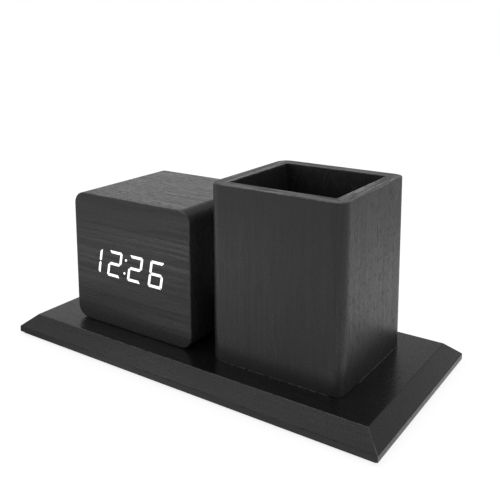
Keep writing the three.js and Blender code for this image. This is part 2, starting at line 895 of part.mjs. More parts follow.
function coverCuts() {
  const outside = plateOuterY + cutOverrun;
  const halfBay = bayLength / 2;
  const rebateY = plateOuterY - doorThickness - doorBackGap;
  const rebateHalf = doorHalfLength + runningGap;
  const rebateBottom = hingeHeight - doorThickness / 2 - runningGap;
  const pinHalf = doorHalfLength + hingePinLength + runningGap;
  const pinReach = hingePinRadius + runningGap;
  const tongueHalf = tongueWidth / 2 + runningGap;
  const cuts = [
    boxBetween([-halfBay, bayFloorY, bayBottom], [halfBay, outside, bayTop]),
    boxBetween([-rebateHalf, rebateY, rebateBottom], [rebateHalf, outside, doorTop + runningGap]),
    boxBetween([-pinHalf, rebateY, hingeHeight - pinReach], [pinHalf, outside, hingeHeight + pinReach]),
    boxBetween(
      [-tongueHalf, rebateY, doorTop],
      [tongueHalf, outside, doorTop + tongueHeight + runningGap],
    ),
    boxBetween(
      [
        powerSocketX - powerSocketWidth / 2 - runningGap,
        plateInnerY - cutOverrun,
        buttonHeight - powerSocketHeight / 2 - runningGap,
      ],
      [
        powerSocketX + powerSocketWidth / 2 + runningGap,
        outside,
        buttonHeight + powerSocketHeight / 2 + runningGap,
      ],
    ),
  ];
  for (const { x } of buttonPlaces()) {
    cuts.push(
      cylinderY(buttonRadius + runningGap, x, plateInnerY - cutOverrun, outside, buttonHeight),
    );
  }
  for (const [x, z] of backScrewPlaces()) {
    cuts.push(
      cylinderY(
        backScrewRadius + backScrewHoleGap,
        x,
        plateInnerY - cutOverrun,
        outside,
        z,
        smallSides,
      ),
    );
  }
  for (const { x, z } of leadPlaces()) {
    const from = bayFloorY - bayWall - cutOverrun;
    cuts.push(cylinderY(leadRadius + slipGap, x, from, bayFloorY + cutOverrun, z, smallSides));
  }
  return [...cuts, ...soundHoles(outside)];
}

function soundHoles(outside) {
  const centres = [[soundHoleX, soundHoleHeight]];
  for (let i = 0; i < soundHoleCount; i++) {
    const angle = (i / soundHoleCount) * 2 * Math.PI;
    centres.push([
      soundHoleX + soundHoleCircleRadius * Math.cos(angle),
      soundHoleHeight + soundHoleCircleRadius * Math.sin(angle),
    ]);
  }
  return centres.map(([x, z]) =>
    cylinderY(soundHoleRadius, x, plateInnerY - cutOverrun, outside, z, smallSides),
  );
}

// A plate with a half-round lower edge on the hinge axis, a pin at each end of it,
// a tongue at the top and grip ribs.
function batteryDoor() {
  const half = doorThickness / 2;
  const outline = new THREE.Shape();
  outline.moveTo(hingeY + half, hingeHeight);
  outline.lineTo(hingeY + half, doorTop);
  outline.lineTo(hingeY - half, doorTop);
  outline.absarc(hingeY, hingeHeight, half, Math.PI, 2 * Math.PI, false);
  outline.closePath();
  const innerY = hingeY - half;
  const tongue = boxBetween(
    [-tongueWidth / 2, innerY, doorTop - doorLedge],
    [tongueWidth / 2, innerY + tongueThickness, doorTop + tongueHeight],
  );
  const pinReach = doorHalfLength + hingePinLength;
  const ribs = Array.from({ length: gripRibCount }, (_, i) => {
    const z = doorTop - gripRibDrop - i * gripRibPitch;
    return boxBetween(
      [-gripRibLength / 2, plateOuterY - half, z - gripRibWidth / 2],
      [gripRibLength / 2, plateOuterY + gripRibHeight, z + gripRibWidth / 2],
    );
  });
  return carve(
    [
      alongX(outline, -doorHalfLength, doorHalfLength),
      cylinderX(hingePinRadius, -pinReach, pinReach, hingeY, hingeHeight, smallSides),
      tongue,
      ...ribs,
    ],
    [],
  );
}

function addBackScrews(clock) {
  const seatY = plateOuterY + seam;
  const headY = seatY + backScrewHeadHeight;
  backScrewPlaces().forEach(([x, z], i) => {
    const slot = (halfX, halfZ) =>
      boxBetween(
        [x - halfX, headY - backSlotDepth, z - halfZ],
        [x + halfX, headY + cutOverrun, z + halfZ],
      );
    const tipY = plateOuterY - backScrewLength;
    const screw = carve(
      [
        cylinderY(backScrewHeadRadius, x, seatY, headY, z),
        cylinderY(backScrewRadius, x, tipY, headY - backSlotDepth, z, smallSides),
      ],
      [slot(backSlotLength / 2, backSlotWidth / 2), slot(backSlotWidth / 2, backSlotLength / 2)],
    );
    place(clock, `back_screw_${i + 1}`, screw, finishes.steel);
  });
}

// A closed round tube along a list of points.
function tubeAlong(points, radius, sides) {
  const runs = points.map((point, i) => {
    const before = points[Math.max(i - 1, 0)];
    const after = points[Math.min(i + 1, points.length - 1)];
    return after.clone().sub(before).normalize();
  });
  let normal = new THREE.Vector3(0, 0, 1);
  const places = [];
  points.forEach((point, i) => {
    normal = normal.clone().addScaledVector(runs[i], -normal.dot(runs[i])).normalize();
    const side = runs[i].clone().cross(normal);
    for (let k = 0; k < sides; k++) {
      const angle = (k / sides) * 2 * Math.PI;
      const ring = point
        .clone()
        .addScaledVector(normal, radius * Math.cos(angle))
        .addScaledVector(side, radius * Math.sin(angle));
      places.push(...ring.toArray());
    }
  });
  const faces = [];
  for (let i = 0; i + 1 < points.length; i++) {
    for (let k = 0; k < sides; k++) {
      const next = (k + 1) % sides;
      const [a, b] = [i * sides + k, i * sides + next];
      faces.push(a, b, b + sides, a, b + sides, a + sides);
    }
  }
  const last = (points.length - 1) * sides;
  for (let k = 1; k + 1 < sides; k++) {
    faces.push(0, k + 1, k, last, last + k, last + k + 1);
  }
  const geometry = new THREE.BufferGeometry();
  geometry.setAttribute("position", new THREE.Float32BufferAttribute(places, 3));
  geometry.setIndex(faces);
  geometry.computeVertexNormals();
  return geometry;
}

// The wire of a coned battery spring, from the contact plate at x0 towards the cell.
function springPoints(x0, direction, z) {
  const lead = 2 * springWireRadius;
  const steps = springCurls * curlSteps;
  const wound = springLength - 2 * seam - 2 * lead;
  const points = [new THREE.Vector3(x0, cellY + springRadius, z)];
  for (let i = 0; i <= steps; i++) {
    const share = i / steps;
    const angle = share * springCurls * 2 * Math.PI;
    const radius = springRadius + (springTipRadius - springRadius) * share;
    points.push(
      new THREE.Vector3(
        x0 + direction * (lead + wound * share),
        cellY + radius * Math.cos(angle),
        z + radius * Math.sin(angle),
      ),
    );
  }
  const end = points[points.length - 1].clone();
  end.x += direction * lead;
  points.push(end);
  return points;
}

function leastGap(points, wireRadius) {
  let least = Infinity;
  for (let i = 0; i < points.length; i++) {
    for (let k = i + curlSteps / 2; k < points.length; k++) {
      least = Math.min(least, points[i].distanceTo(points[k]) - 2 * wireRadius);
    }
  }
  return least;
}

function cellPlaces() {
  return Array.from({ length: cellCount }, (_, i) => ({
    z: bayBottom + cellMargin + cellRadius + i * cellPitch,
    nubSide: i % 2 === 0 ? 1 : -1,
  }));
}

const contactFaceX = bayLength / 2 - seam - contactThickness;

function addCells(clock) {
  cellPlaces().forEach(({ z, nubSide }, i) => {
    const tip = nubSide * (contactFaceX - seam);
    const shoulder = tip - nubSide * cellNubLength;
    const tail = tip - nubSide * cellLength;
    const body = cylinderX(cellRadius, Math.min(shoulder, tail), Math.max(shoulder, tail), cellY, z);
    const nub = cylinderX(
      cellNubRadius,
      Math.min(tip, tip - nubSide * cellNubRadius),
      Math.max(tip, tip - nubSide * cellNubRadius),
      cellY,
      z,
      smallSides,
    );
    place(clock, `battery_${i + 1}`, carve([body, nub], []), finishes.cellWrap);
    const points = springPoints(-nubSide * (contactFaceX - seam), nubSide, z);
    const gap = leastGap(points, springWireRadius);
    console.log(`battery_spring_${i + 1}: least gap between curls ${gap.toFixed(2)} mm`);
    place(
      clock,
      `battery_spring_${i + 1}`,
      tubeAlong(points, springWireRadius, wireSides),
      finishes.steel,
    );
  });
}

// One plate alone at each end of the row of cells, and between them plates that link two neighbours.
function addContacts(clock) {
  const cells = cellPlaces();
  for (let i = 0; i <= cellCount; i++) {
    const side = i % 2 === 0 ? -1 : 1;
    const inner = side * contactFaceX;
    const outer = side * (contactFaceX + contactThickness);
    const low = cells[Math.max(i - 1, 0)].z;
    const high = cells[Math.min(i, cellCount - 1)].z;
    const plate = boxBetween(
      [Math.min(inner, outer), cellY - contactWidth / 2, low - contactWidth / 2],
      [Math.max(inner, outer), cellY + contactWidth / 2, high + contactWidth / 2],
    );
    place(clock, `battery_contact_${i + 1}`, plate, finishes.steel);
  }
}

// Where each lead leaves its contact: the negative end of the row is at the left, the positive at the right.
function leadPlaces() {
  const cells = cellPlaces();
  const x = contactFaceX + contactThickness / 2;
  const rise = contactWidth / 2 - leadRadius;
  return [
    { name: "black", side: -1, x: -x, z: cells[0].z + rise, finish: finishes.blackWire },
    { name: "red", side: 1, x, z: cells[cellCount - 1].z + rise, finish: finishes.redWire },
  ];
}

// A quarter turn in Y and Z about a centre, from one angle to another.
function bend(x, centreY, centreZ, from, to) {
  return Array.from({ length: bendSteps + 1 }, (_, i) => {
    const angle = from + ((to - from) * i) / bendSteps;
    const y = centreY + leadBend * Math.cos(angle);
    return new THREE.Vector3(x, y, centreZ + leadBend * Math.sin(angle));
  });
}

// A lead goes out through the floor of the bay, up behind it and back to the main board, above a boss.
function addLeads(clock) {
  const startY = cellY - contactWidth / 2 - seam;
  const turnY = bayFloorY - bayWall - runningGap;
  const landingZ = mainBoardBottom + leadLandingRise;
  for (const { name, side, x, z, finish } of leadPlaces()) {
    const landingX = side * bossX;
    const points = [
      new THREE.Vector3(x, startY, z),
      ...bend(x, turnY, z + leadBend, -Math.PI / 2, -Math.PI),
      ...bend(landingX, turnY, landingZ - leadBend, Math.PI, Math.PI / 2),
      new THREE.Vector3(landingX, mainBoardFrontY - seam, landingZ),
    ];
    place(clock, `battery_lead_${name}`, tubeAlong(points, leadRadius, wireSides), finish);
  }
}

function addClock(root) {
  const clock = new THREE.Group();
  clock.position.set(clockX, bodyY, baseTop + seam);
  root.add(clock);
  addCase(clock);
  addFront(clock);
  addLightGuides(clock);
  addDisplayBoard(clock);
  addMainBoard(clock);
  addRibbon(clock);
  addButtons(clock);
  addPowerSocket(clock);
  place(clock, "back_cover", backCover(), finishes.blackPlastic);
  place(clock, "battery_door", batteryDoor(), finishes.blackPlastic);
  addBackScrews(clock);
  addCells(clock);
  addContacts(clock);
  addLeads(clock);
}

const organiser = new THREE.Group();
addBase(organiser);
addCup(organiser);
addClock(organiser);

export default organiser;
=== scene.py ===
# Looks of the pen holder clock: black wood film, lit digits and the fittings at the clock's back
import math

import bmesh
import bpy
from mathutils import Matrix, Vector


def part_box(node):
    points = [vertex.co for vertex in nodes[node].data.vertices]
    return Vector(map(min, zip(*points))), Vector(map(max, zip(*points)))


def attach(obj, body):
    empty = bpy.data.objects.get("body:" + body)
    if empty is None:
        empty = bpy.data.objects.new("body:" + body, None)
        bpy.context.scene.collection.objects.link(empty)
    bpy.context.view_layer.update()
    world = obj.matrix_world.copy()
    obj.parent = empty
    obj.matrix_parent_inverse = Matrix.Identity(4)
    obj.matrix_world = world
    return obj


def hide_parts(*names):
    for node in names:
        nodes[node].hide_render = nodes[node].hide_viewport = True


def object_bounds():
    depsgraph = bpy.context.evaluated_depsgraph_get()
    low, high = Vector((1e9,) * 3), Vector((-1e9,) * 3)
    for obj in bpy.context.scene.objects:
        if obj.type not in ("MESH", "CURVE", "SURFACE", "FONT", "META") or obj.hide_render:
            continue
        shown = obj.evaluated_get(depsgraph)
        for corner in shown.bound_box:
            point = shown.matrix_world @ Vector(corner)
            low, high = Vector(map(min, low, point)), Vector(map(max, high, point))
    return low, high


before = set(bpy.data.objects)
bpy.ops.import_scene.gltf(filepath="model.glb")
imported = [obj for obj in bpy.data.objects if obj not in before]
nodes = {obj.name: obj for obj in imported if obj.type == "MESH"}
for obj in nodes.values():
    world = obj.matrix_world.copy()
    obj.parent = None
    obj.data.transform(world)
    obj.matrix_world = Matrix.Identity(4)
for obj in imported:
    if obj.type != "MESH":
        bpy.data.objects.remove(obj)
cadLow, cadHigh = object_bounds()
mm = 0.001
print("frame loaded")

# Names and boxes of CAD nodes


def numbered(name, count):
    return [name + "_" + str(number + 1) for number in range(count)]


def span(*names):
    boxes = [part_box(name) for name in names]
    low = Vector(min(box[0][axis] for box in boxes) for axis in range(3))
    high = Vector(max(box[1][axis] for box in boxes) for axis in range(3))
    return low, high


def middleOf(name):
    low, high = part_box(name)
    return (low + high) / 2


# Shader nodes


def newMaterial(name):
    material = bpy.data.materials.new(name)
    material.use_nodes = True
    return material, material.node_tree, material.node_tree.nodes["Principled BSDF"]


def feed(tree, socket, value):
    if isinstance(value, bpy.types.NodeSocket):
        tree.links.new(value, socket)
    else:
        socket.default_value = value


def shaderNode(tree, kind, settings=None, **inputs):
    # An input goes by its socket's name, or by its number as i0, i1 and so on.
    made = tree.nodes.new("ShaderNode" + kind)
    for key, value in (settings or {}).items():
        setattr(made, key, value)
    for key, value in inputs.items():
        socket = made.inputs[int(key[1:])] if key[1:].isdigit() else made.inputs[key]
        feed(tree, socket, value)
    return made


def maths(tree, operation, first, second=0.0, third=0.0):
    made = shaderNode(tree, "Math", {"operation": operation}, i0=first, i1=second, i2=third)
    return made.outputs[0]


def vectorMaths(tree, operation, first, second=(0, 0, 0), output=0):
    made = shaderNode(tree, "VectorMath", {"operation": operation}, i0=first, i1=second)
    return made.outputs[output]


def onObject(tree):
    return shaderNode(tree, "TexCoord").outputs["Object"]


def axesOf(tree, place):
    return shaderNode(tree, "SeparateXYZ", i0=place).outputs


def everyWay(size):
    return size if isinstance(size, tuple) else (size, size, size)


def noiseAt(tree, place, size, detail=2.0, roughness=0.5):
    # size is the length of one blotch in metres: one number, or one along each axis.
    scaled = vectorMaths(tree, "DIVIDE", place, everyWay(size))
    made = shaderNode(tree, "TexNoise", Vector=scaled, Scale=1.0, Detail=detail, Roughness=roughness)
    return made.outputs["Fac"]


def aboveMiddle(tree, noise):
    return maths(tree, "SUBTRACT", noise, 0.5)


def belowMiddle(tree, noise):
    return maths(tree, "SUBTRACT", 0.5, noise)


def rangeTo(tree, value, fromLow, fromHigh, toLow, toHigh):
    made = shaderNode(
        tree, "MapRange", {"clamp": True}, Value=value, i1=fromLow, i2=fromHigh, i3=toLow, i4=toHigh
    )
    return made.outputs[0]


def mixTones(tree, share, first, second):
    # Inputs 6 and 7 and output 2 of a Mix node are its colours.
    made = shaderNode(tree, "Mix", {"data_type": "RGBA"}, i0=share)
    feed(tree, made.inputs[6], first)
    feed(tree, made.inputs[7], second)
    return made.outputs[2]


def grey(value):
    return (value, value, value, 1.0)


def opaque(tone):
    return (*tone, 1.0)


def bumpInto(tree, shader, height, strength, depth):
    bump = shaderNode(tree, "Bump", Height=height, Strength=strength, Distance=depth)
    tree.links.new(bump.outputs[0], shader.inputs["Normal"])


# Black wood film

film = {
    "darkTone": 0.002,
    "lightTone": 0.014,
    "poreTone": 0.001,
    "wornTone": 0.16,
    "toneRange": (0.25, 0.75),
    "fibreAcross": 0.5 * mm,
    "fibreAlong": 14 * mm,
    "fibreRange": (0.3, 0.7),
    "poreAcross": 0.45 * mm,
    "poreAlong": 4 * mm,
    "poreRange": (0.57, 0.67),
    "waveAcross": 16 * mm,
    "waveAlong": 48 * mm,
    "waveDepth": 2.2 * mm,
    "rubSize": 5 * mm,
    "rubWidth": 0.16,
    "roughLow": 0.3,
    "roughHigh": 0.4,
    "specular": 0.45,
    "poreRough": 0.35,
    "speckSize": 0.65 * mm,
    "speckRough": 0.45,
    "poreDepth": 1.4,
    "bumpStrength": 0.2,
    "bumpDepth": 0.08 * mm,
    "seedStep": (0.37, 0.61, 0.83),
}


def alongGrain(slowAxes, along, across):
    return tuple(along if axis in slowAxes else across for axis in "xyz")


def warpedByWaves(tree, place, slowAxes, wave):
    size = alongGrain(slowAxes, film["waveAlong"], film["waveAcross"])
    waves = aboveMiddle(tree, noiseAt(tree, place, size, detail=1.5))
    waves = maths(tree, "MULTIPLY", waves, 2 * wave * film["waveDepth"])
    shift = shaderNode(tree, "CombineXYZ", i0=waves, i1=waves, i2=waves).outputs[0]
    shift = vectorMaths(tree, "MULTIPLY", shift, alongGrain(slowAxes, 0.0, 1.0))
    return vectorMaths(tree, "ADD", place, shift)


def woodFilm(
    name,
    slowAxes,
    seed,
    worn=0.0,
    pores=0.5,
    bands=1.0,
    smoother=0.0,
    lift=0.0,
    rubFrom=0.46,
    bandAcross=2.4 * mm,
    bandAlong=110 * mm,
    bandRough=0.3,
    specks=0.0,
    wave=1.0,
):
    # The grain runs along the slow axes and changes quickly across the others.
    material, tree, shader = newMaterial(name)
    place = vectorMaths(tree, "ADD", onObject(tree), tuple(seed * step for step in film["seedStep"]))
    warped = warpedByWaves(tree, place, slowAxes, wave)
    bandSize = alongGrain(slowAxes, bandAlong, bandAcross)
    band = noiseAt(tree, warped, bandSize, detail=3.0, roughness=0.6)
    fibreSize = alongGrain(slowAxes, film["fibreAlong"], film["fibreAcross"])
    fibre = noiseAt(tree, warped, fibreSize, detail=3.0, roughness=0.6)
    poreSize = alongGrain(slowAxes, film["poreAlong"], film["poreAcross"])
    pore = noiseAt(tree, warped, poreSize, detail=1.0)
    pore = rangeTo(tree, pore, *film["poreRange"], 0.0, pores)
    speck = noiseAt(tree, place, film["speckSize"], detail=1.0) if specks else None

    tone = maths(tree, "MULTIPLY_ADD", aboveMiddle(tree, band), bands, fibre)
    if specks:
        tone = maths(tree, "MULTIPLY_ADD", aboveMiddle(tree, speck), specks, tone)
    tone = rangeTo(tree, tone, *film["toneRange"], 0.0, 1.0)
    darkTone = max(film["darkTone"] + lift, 0.0)
    colour = mixTones(tree, tone, grey(darkTone), grey(film["lightTone"] + lift))
    colour = mixTones(tree, pore, colour, grey(film["poreTone"]))
    if worn:
        rub = noiseAt(tree, place, film["rubSize"], detail=4.0, roughness=0.65)
        rub = rangeTo(tree, rub, rubFrom, rubFrom + film["rubWidth"], 0.0, worn)
        colour = mixTones(tree, rub, colour, grey(film["wornTone"]))
    tree.links.new(colour, shader.inputs["Base Color"])

    roughHigh = film["roughHigh"] - smoother
    roughLow = film["roughLow"] - smoother
    rough = rangeTo(tree, fibre, *film["fibreRange"], roughHigh, roughLow)
    rough = maths(tree, "MULTIPLY_ADD", pore, film["poreRough"], rough)
    rough = maths(tree, "MULTIPLY_ADD", belowMiddle(tree, band), bandRough * bands, rough)
    if specks:
        rough = maths(tree, "MULTIPLY_ADD", belowMiddle(tree, speck), film["speckRough"] * specks, rough)
    tree.links.new(rough, shader.inputs["Roughness"])
    height = maths(tree, "MULTIPLY_ADD", pore, -film["poreDepth"], maths(tree, "ADD", fibre, band))
    bumpInto(tree, shader, height, film["bumpStrength"], film["bumpDepth"])
    shader.inputs["Specular IOR Level"].default_value = film["specular"]
    return material


# One film for each way that the grain runs and for each kind of surface

filmUpright = woodFilm("film upright", "z", 1.0, pores=0.8, bands=0.8, specks=0.8)
filmUprightCalm = woodFilm("film upright calm", "z", 1.0, pores=0.2, bands=0.5, specks=1.2)
filmUprightWorn = woodFilm("film upright worn", "z", 1.0, worn=0.35)

rim = {
    "smoother": -0.07,
    "bands": 1.3,
    "bandAcross": 1.4 * mm,
    "bandAlong": 36 * mm,
    "bandRough": 0.7,
    # The rim's tone is lifted above the walls': painted light that brightens the top of the cup's rim
    "lift": 0.004,
}
filmRimLengthwise = woodFilm("film rim lengthwise", "x", 2.0, **rim)
filmRimCrosswise = woodFilm("film rim crosswise", "y", 3.0, **rim)

filmBase = woodFilm(
    "film base", "x", 6.0, pores=0.35, bands=0.6, smoother=0.09, lift=-0.006, specks=1.4
)
filmBaseWorn = woodFilm("film base worn", "x", 6.0, worn=0.24, rubFrom=0.38)
filmBaseDark = woodFilm("film base dark", "x", 6.0, smoother=-0.4)

filmWrapped = woodFilm(
    "film wrapped",
    "xz",
    4.0,
    pores=0.6,
    lift=0.006,
    smoother=0.01,
    bandAcross=0.9 * mm,
    bandRough=0.65,
    specks=0.5,
)
# Rubbed arrises of the case, lighter than their wear alone: real wear and a painted highlight along the edges
filmWrappedWornAndHighlight = woodFilm("film wrapped worn and highlight", "xz", 4.0, worn=0.8, rubFrom=0.38, lift=0.006)

filmFace = woodFilm(
    "film face", "x", 5.0, pores=0.4, bands=2.2, specks=1.4, bandRough=0.4, wave=0.4
)
filmFaceWorn = woodFilm("film face worn", "x", 5.0, worn=0.2, bands=1.6)
print("wood film made")

# Other finishes

mottle = {"cloudRange": (0.35, 0.65), "glossRange": (0.7, 1.3), "bumpStrength": 0.4}


def mottled(name, tones, rough, blotch, grain, depth, metallic=0.0, specular=0.5):
    # Two close tones in soft blotches, with a fine grain in the gloss and the relief
    material, tree, shader = newMaterial(name)
    place = onObject(tree)
    cloud = noiseAt(tree, place, blotch, detail=3.0, roughness=0.6)
    fine = noiseAt(tree, place, grain, detail=2.0, roughness=0.6)
    share = rangeTo(tree, cloud, *mottle["cloudRange"], 0.0, 1.0)
    colour = mixTones(tree, share, opaque(tones[0]), opaque(tones[1]))
    tree.links.new(colour, shader.inputs["Base Color"])
    gloss = rangeTo(tree, maths(tree, "ADD", fine, cloud), *mottle["glossRange"], *rough)
    tree.links.new(gloss, shader.inputs["Roughness"])
    shader.inputs["Metallic"].default_value = metallic
    shader.inputs["Specular IOR Level"].default_value = specular
    bumpInto(tree, shader, fine, mottle["bumpStrength"], depth)
    return material


plastic = mottled(
    "black plastic",
    tones=((0.012, 0.012, 0.012), (0.019, 0.019, 0.02)),
    rough=(0.42, 0.58),
    blotch=7 * mm,
    grain=0.3 * mm,
    depth=0.03 * mm,
)
glossPlastic = mottled(
    "button plastic",
    tones=((0.009, 0.009, 0.009), (0.014, 0.014, 0.014)),
    rough=(0.25, 0.38),
    blotch=4 * mm,
    grain=0.3 * mm,
    depth=0.01 * mm,
)
steel = mottled(
    "steel",
    tones=((0.36, 0.36, 0.35), (0.46, 0.46, 0.45)),
    rough=(0.24, 0.42),
    blotch=2.5 * mm,
    grain=0.25 * mm,
    depth=0.01 * mm,
    metallic=1.0,
)
nickel = mottled(
    "nickel plate",
    tones=((0.6, 0.57, 0.52), (0.7, 0.68, 0.63)),
    rough=(0.18, 0.34),
    blotch=3 * mm,
    grain=(0.2 * mm, 0.2 * mm, 2 * mm),
    depth=0.01 * mm,
    metallic=1.0,
)
rawBoard = mottled(
    "raw board",
    tones=((0.2, 0.125, 0.07), (0.32, 0.21, 0.125)),
    rough=(0.75, 0.95),
    blotch=(3 * mm, 3 * mm, 1.2 * mm),
    grain=(0.5 * mm, 0.5 * mm, 0.25 * mm),
    depth=0.12 * mm,
)
rubber = mottled(
    "foot rubber",
    tones=((0.016, 0.016, 0.016), (0.03, 0.03, 0.03)),
    rough=(0.7, 0.9),
    blotch=3 * mm,
    grain=0.25 * mm,
    depth=0.05 * mm,
)
cellWrap = mottled(
    "cell wrap",
    tones=((0.03, 0.09, 0.16), (0.04, 0.11, 0.19)),
    rough=(0.2, 0.32),
    blotch=(9 * mm, 3 * mm, 3 * mm),
    grain=0.6 * mm,
    depth=0.01 * mm,
)
cellBand = mottled(
    "cell band",
    tones=((0.5, 0.5, 0.48), (0.58, 0.58, 0.56)),
    rough=(0.2, 0.32),
    blotch=(6 * mm, 3 * mm, 3 * mm),
    grain=0.6 * mm,
    depth=0.01 * mm,
)
edgePaint = mottled(
    "edge paint",
    tones=((0.004, 0.004, 0.004), (0.009, 0.009, 0.009)),
    rough=(0.55, 0.7),
    blotch=(5 * mm, 2 * mm, 5 * mm),
    grain=0.4 * mm,
    depth=0.05 * mm,
)
glueBead = mottled(
    "glue bead",
    tones=((0.002, 0.002, 0.002), (0.06, 0.06, 0.06)),
    rough=(0.7, 0.9),
    blotch=1.3 * mm,
    grain=0.4 * mm,
    depth=0.02 * mm,
)
glueTraces = mottled(
    "glue traces",
    tones=((0.001, 0.001, 0.001), (0.08, 0.08, 0.08)),
    rough=(0.8, 0.95),
    blotch=1.8 * mm,
    grain=0.4 * mm,
    depth=0.02 * mm,
    specular=0.05,
)
redWire = mottled(
    "red wire",
    tones=((0.4, 0.012, 0.01), (0.5, 0.02, 0.015)),
    rough=(0.35, 0.5),
    blotch=2 * mm,
    grain=0.2 * mm,
    depth=0.01 * mm,
)
blackWire = mottled(
    "black wire",
    tones=((0.01, 0.01, 0.01), (0.016, 0.016, 0.016)),
    rough=(0.35, 0.5),
    blotch=2 * mm,
    grain=0.2 * mm,
    depth=0.01 * mm,
)
mark = mottled(
    "mark paint",
    tones=((0.5, 0.5, 0.5), (0.62, 0.62, 0.62)),
    rough=(0.5, 0.65),
    blotch=1.5 * mm,
    grain=0.15 * mm,
    depth=0.01 * mm,
)

circuit = {
    "lacquer": (0.004, 0.05, 0.018),
    "overTrack": (0.012, 0.12, 0.045),
    "tin": (0.6, 0.6, 0.57),
    "trackPitch": 1.3 * mm,
    "trackRun": 14 * mm,
    "trackDepth": 4 * mm,
    "trackShare": 0.45,
    "levelFrom": 0.52,
    "uprightFrom": 0.54,
    "padPitch": 3.4 * mm,
    "padRadius": 0.2,
    "roughBetween": 0.32,
    "roughOnTrack": 0.26,
    "bumpStrength": 0.5,
    "bumpDepth": 0.04 * mm,
}


def stripe(tree, value, pitch, share):
    # 1 on a stripe, 0 between stripes
    turn = maths(tree, "FRACT", maths(tree, "DIVIDE", value, pitch))
    return maths(tree, "LESS_THAN", turn, share)


def tracks(tree, patch, patchFrom, across):
    # Stripes side by side, where the noise of the patch is high
    lines = stripe(tree, across, circuit["trackPitch"], circuit["trackShare"])
    return maths(tree, "MULTIPLY", lines, maths(tree, "GREATER_THAN", patch, patchFrom))


def circuitFinish():
    # Green lacquer over copper tracks, with tinned pads
    material, tree, shader = newMaterial("circuit board")
    place = onObject(tree)
    split = axesOf(tree, place)
    pitch, run, depth = circuit["trackPitch"], circuit["trackRun"], circuit["trackDepth"]
    levelPatch = noiseAt(tree, place, (run, depth, pitch), detail=0.0)
    uprightPatch = noiseAt(tree, place, (pitch, depth, run), detail=0.0)
    level = tracks(tree, levelPatch, circuit["levelFrom"], split["Z"])
    upright = tracks(tree, uprightPatch, circuit["uprightFrom"], split["X"])
    track = maths(tree, "MAXIMUM", level, upright)
    scaled = vectorMaths(tree, "DIVIDE", place, everyWay(circuit["padPitch"]))
    dots = shaderNode(tree, "TexVoronoi", Vector=scaled, Scale=1.0)
    pad = maths(tree, "LESS_THAN", dots.outputs["Distance"], circuit["padRadius"])
    colour = mixTones(tree, track, opaque(circuit["lacquer"]), opaque(circuit["overTrack"]))
    colour = mixTones(tree, pad, colour, opaque(circuit["tin"]))
    tree.links.new(colour, shader.inputs["Base Color"])
    tree.links.new(pad, shader.inputs["Metallic"])
    rough = rangeTo(tree, track, 0.0, 1.0, circuit["roughBetween"], circuit["roughOnTrack"])
    tree.links.new(rough, shader.inputs["Roughness"])
    relief = maths(tree, "ADD", track, pad)
    bumpInto(tree, shader, relief, circuit["bumpStrength"], circuit["bumpDepth"])
    return material


ribbon = {
    "pitch": 1.0 * mm,
    "grooveRange": (-1.0, -0.4),
    "grooveTone": 0.12,
    "ribTone": (0.42, 0.42, 0.43),
    "firstTone": (0.4, 0.02, 0.02),
    "rough": 0.45,
    "bumpStrength": 0.6,
    "bumpDepth": 0.15 * mm,
}


def ribbonFinish():
    # Grey ribbed conductors side by side, the first one red
    material, tree, shader = newMaterial("ribbon")
    along = axesOf(tree, onObject(tree))["X"]
    ribs = maths(tree, "SINE", maths(tree, "MULTIPLY", along, 2 * math.pi / ribbon["pitch"]))
    shade = rangeTo(tree, ribs, *ribbon["grooveRange"], 0.0, 1.0)
    colour = mixTones(tree, shade, grey(ribbon["grooveTone"]), opaque(ribbon["ribTone"]))
    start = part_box("ribbon_cable")[0].x
    first = maths(tree, "LESS_THAN", along, start + ribbon["pitch"])
    colour = mixTones(tree, first, colour, opaque(ribbon["firstTone"]))
    tree.links.new(colour, shader.inputs["Base Color"])
    shader.inputs["Roughness"].default_value = ribbon["rough"]
    bumpInto(tree, shader, ribs, ribbon["bumpStrength"], ribbon["bumpDepth"])
    return material


lit = {"hazeSize": 3 * mm, "hazeRange": (0.3, 0.7), "glowRange": (0.72, 0.82), "tone": 0.8, "rough": 0.4}


def litPlastic():
    material, tree, shader = newMaterial("lit plastic")
    haze = noiseAt(tree, onObject(tree), lit["hazeSize"])
    strength = rangeTo(tree, haze, *lit["hazeRange"], *lit["glowRange"])
    tree.links.new(strength, shader.inputs["Emission Strength"])
    shader.inputs["Emission Color"].default_value = grey(1.0)
    shader.inputs["Base Color"].default_value = grey(lit["tone"])
    shader.inputs["Roughness"].default_value = lit["rough"]
    return material


circuitBoard = circuitFinish()
ribbonCable = ribbonFinish()
litGuide = litPlastic()
print("finishes made")

# Bmesh helpers

mergeReach = 1e-7  # metres


def inScene(made):
    bpy.context.scene.collection.objects.link(made)
    return made


def asObject(name, bm):
    mesh = bpy.data.meshes.new(name)
    bm.to_mesh(mesh)
    bm.free()
    return inScene(bpy.data.objects.new(name, mesh))


def newPiece(name, bm, materials, body="root", sharpAngle=40.0, replaced=()):
    bmesh.ops.recalc_face_normals(bm, faces=bm.faces)
    made = asObject(name, bm)
    mesh = made.data
    for polygon in mesh.polygons:
        polygon.use_smooth = True
    mesh.set_sharp_from_angle(angle=math.radians(sharpAngle))
    for material in materials:
        mesh.materials.append(material)
    normals = made.modifiers.new("even shading", "WEIGHTED_NORMAL")
    normals.keep_sharp = True
    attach(made, body)
    if replaced:
        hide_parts(*replaced)
    return made


def dress(material, *names):
    # A new finish for CAD nodes that keep their shape
    for name in names:
        mesh = nodes[name].data
        mesh.materials.clear()
        mesh.materials.append(material)


def boxShape(low, high):
    bm = bmesh.new()
    bmesh.ops.create_cube(bm, size=1)
    bmesh.ops.scale(bm, vec=high - low, verts=bm.verts)
    bmesh.ops.translate(bm, vec=(low + high) / 2, verts=bm.verts)
    return bm


def bevelEdges(bm, edges, width, segments):
    return bmesh.ops.bevel(
        bm,
        geom=edges,
        offset=width,
        offset_type="OFFSET",
        segments=segments,
        profile=0.5,
        affect="EDGES",
        material=-1,
        clamp_overlap=True,
    )["faces"]


